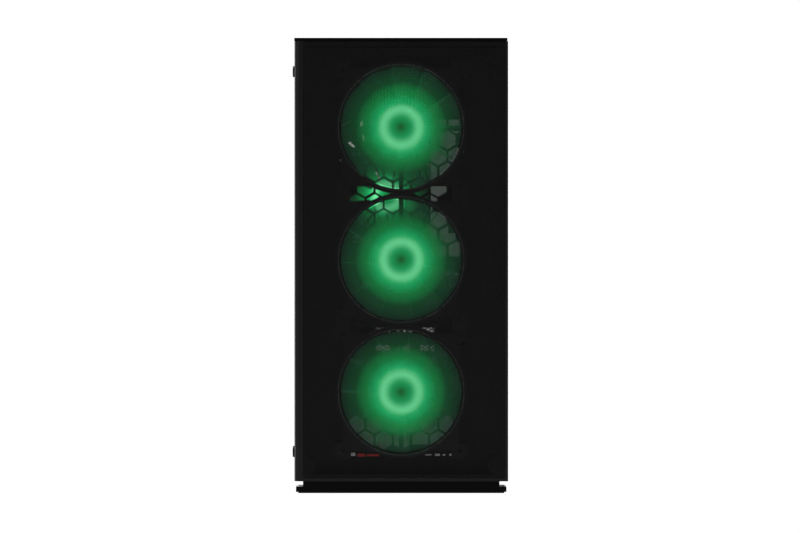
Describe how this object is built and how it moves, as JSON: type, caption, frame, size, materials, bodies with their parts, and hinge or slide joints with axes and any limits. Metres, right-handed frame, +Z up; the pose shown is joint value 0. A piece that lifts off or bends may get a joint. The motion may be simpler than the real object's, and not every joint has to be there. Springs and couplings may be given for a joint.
{
  "type": "desktop computer tower",
  "caption": "Compact black computer tower with a mesh front over lit fans, smoked glass side, bar feet and a full set of internal parts.",
  "frame": {"origin": "middle of the footprint at floor level", "axes": "+Z up, -Y out of the mesh front, -X towards the glass side"},
  "size_m": [0.1959, 0.405, 0.4095],
  "materials": {
    "black_steel": "satin black powder coat",
    "foot_plastic": "matt black",
    "rubber_black": "matt",
    "front_plastic": "fine-grained black plastic",
    "mesh_black": "matt black woven mesh",
    "connector_black": "matt",
    "fan_black": "matt black",
    "fan_frosted": "frosted translucent",
    "board_dark": "dark solder mask",
    "port_metal": "nickel-plated",
    "light_alloy": "anodised light grey",
    "dark_alloy": "anodised dark grey",
    "fin_alloy": "bare",
    "copper": "nickel-free copper",
    "card_plastic": "matt with fine lines",
    "bracket_steel": "plain",
    "supply_steel": "textured dark grey",
    "drive_metal": "cast, satin",
    "ssd_shell": "satin",
    "cable_black": "braided sleeve",
    "cable_red": "smooth",
    "glass_tint": "smoked, polished edges",
    "screw_black": "black zinc"
  },
  "bodies": {
    "chassis": {"front_plate": "black_steel", "side_flanges": "black_steel", "rear_plate": "black_steel", "floor_pan": "black_steel", "roof_plate": "black_steel", "motherboard_tray": "black_steel", "psu_shroud": "black_steel", "drive_cage": "black_steel", "front_foot": "foot_plastic", "rear_foot": "foot_plastic", "foot_pads": "rubber_black", "slot_covers": "black_steel", "top_trim": "front_plastic", "front_io": "connector_black", "fan_top_frame": "fan_black", "fan_mid_frame": "fan_black", "fan_low_frame": "fan_black", "rear_fan_frame": "fan_black", "cooler_fan_frame": "fan_black", "motherboard": "board_dark", "rear_io": "port_metal", "board_connectors": "connector_black", "ram_modules": "light_alloy", "board_heatsinks": "dark_alloy", "cooler_fins": "fin_alloy", "cooler_base": "copper", "gpu_board": "board_dark", "gpu_heatsink": "fin_alloy", "gpu_shroud": "card_plastic", "gpu_bracket": "bracket_steel", "psu_case": "supply_steel", "psu_inlet": "connector_black", "hard_drive": "drive_metal", "ssd": "ssd_shell", "power_cables": "cable_black", "sata_cable": "cable_red", "screws": "screw_black"},
    "front_panel": {"front_frame": "front_plastic", "front_mesh": "mesh_black"},
    "glass_side": {"glass_panel": "glass_tint", "glass_washers": "rubber_black"},
    "knob_front_high": {"thumbscrew_front_high": "screw_black"},
    "knob_front_low": {"thumbscrew_front_low": "screw_black"},
    "knob_rear_high": {"thumbscrew_rear_high": "screw_black"},
    "knob_rear_low": {"thumbscrew_rear_low": "screw_black"},
    "steel_side": {"right_panel": "black_steel", "rear_thumbscrews": "screw_black"},
    "roof_filter": {"top_filter": "mesh_black"},
    "floor_filter": {"psu_filter": "mesh_black"},
    "power_key": {"power_button": "front_plastic"},
    "reset_key": {"reset_button": "front_plastic"},
    "rotor_top": {"fan_top_rotor": "fan_frosted"},
    "rotor_mid": {"fan_mid_rotor": "fan_frosted"},
    "rotor_low": {"fan_low_rotor": "fan_frosted"},
    "rotor_rear": {"rear_fan_rotor": "fan_black"},
    "rotor_cooler": {"cooler_fan_rotor": "fan_frosted"},
    "rotor_card_front": {"gpu_fan_front": "fan_black"},
    "rotor_card_rear": {"gpu_fan_rear": "fan_black"},
    "rotor_supply": {"psu_fan_rotor": "fan_black"},
    "supply_rocker": {"psu_switch": "connector_black"}
  },
  "joints": [
    {"name": "front_panel_pull", "type": "slide", "parent": "chassis", "child": "front_panel", "axis": [0, -1, 0], "range_m": [0, 0.06]},
    {"name": "glass_lift_off", "type": "slide", "parent": "chassis", "child": "glass_side", "axis": [-1, 0, 0], "range_m": [0, 0.08]},
    {"name": "steel_panel_slide", "type": "slide", "parent": "chassis", "child": "steel_side", "axis": [0, 1, 0], "range_m": [0, 0.12]},
    {"name": "roof_filter_lift", "type": "slide", "parent": "chassis", "child": "roof_filter", "axis": [0, 0, 1], "range_m": [0, 0.04]},
    {"name": "floor_filter_slide", "type": "slide", "parent": "chassis", "child": "floor_filter", "axis": [-1, 0, 0], "range_m": [0, 0.15]},
    {"name": "power_press", "type": "slide", "parent": "chassis", "child": "power_key", "axis": [0, 0, -1], "range_m": [0, 0.0015], "stiffness_N_per_m": 300, "springref_m": -0.002},
    {"name": "reset_press", "type": "slide", "parent": "chassis", "child": "reset_key", "axis": [0, 0, -1], "range_m": [0, 0.001], "stiffness_N_per_m": 300, "springref_m": -0.002},
    {"name": "knob_front_high_turn", "type": "hinge", "parent": "glass_side", "child": "knob_front_high", "pos_m": [-0.096, -0.148, 0.3835], "axis": [-1, 0, 0], "continuous": true},
    {"name": "knob_front_low_turn", "type": "hinge", "parent": "glass_side", "child": "knob_front_low", "pos_m": [-0.096, -0.148, 0.0332], "axis": [-1, 0, 0], "continuous": true},
    {"name": "knob_rear_high_turn", "type": "hinge", "parent": "glass_side", "child": "knob_rear_high", "pos_m": [-0.096, 0.184, 0.3835], "axis": [-1, 0, 0], "continuous": true},
    {"name": "knob_rear_low_turn", "type": "hinge", "parent": "glass_side", "child": "knob_rear_low", "pos_m": [-0.096, 0.184, 0.0332], "axis": [-1, 0, 0], "continuous": true},
    {"name": "fan_top_spin", "type": "hinge", "parent": "chassis", "child": "rotor_top", "pos_m": [0, -0.17, 0.33], "axis": [0, -1, 0], "continuous": true},
    {"name": "fan_mid_spin", "type": "hinge", "parent": "chassis", "child": "rotor_mid", "pos_m": [0, -0.17, 0.21], "axis": [0, -1, 0], "continuous": true},
    {"name": "fan_low_spin", "type": "hinge", "parent": "chassis", "child": "rotor_low", "pos_m": [0, -0.17, 0.09], "axis": [0, -1, 0], "continuous": true},
    {"name": "rear_fan_spin", "type": "hinge", "parent": "chassis", "child": "rotor_rear", "pos_m": [-0.036, 0.185, 0.32], "axis": [0, -1, 0], "continuous": true},
    {"name": "cooler_fan_spin", "type": "hinge", "parent": "chassis", "child": "rotor_cooler", "pos_m": [-0.0145, 0.065, 0.275], "axis": [0, -1, 0], "continuous": true},
    {"name": "card_fan_front_spin", "type": "hinge", "parent": "chassis", "child": "rotor_card_front", "pos_m": [0.006, 0.034, 0.152], "axis": [0, 0, -1], "continuous": true},
    {"name": "card_fan_rear_spin", "type": "hinge", "parent": "chassis", "child": "rotor_card_rear", "pos_m": [0.006, 0.134, 0.152], "axis": [0, 0, -1], "continuous": true},
    {"name": "supply_fan_spin", "type": "hinge", "parent": "chassis", "child": "rotor_supply", "pos_m": [0, 0.116, 0.024], "axis": [0, 0, -1], "continuous": true},
    {"name": "supply_rocker_tilt", "type": "hinge", "parent": "chassis", "child": "supply_rocker", "pos_m": [0.042, 0.1925, 0.076], "axis": [1, 0, 0], "range_deg": [0, 18]}
  ]
}
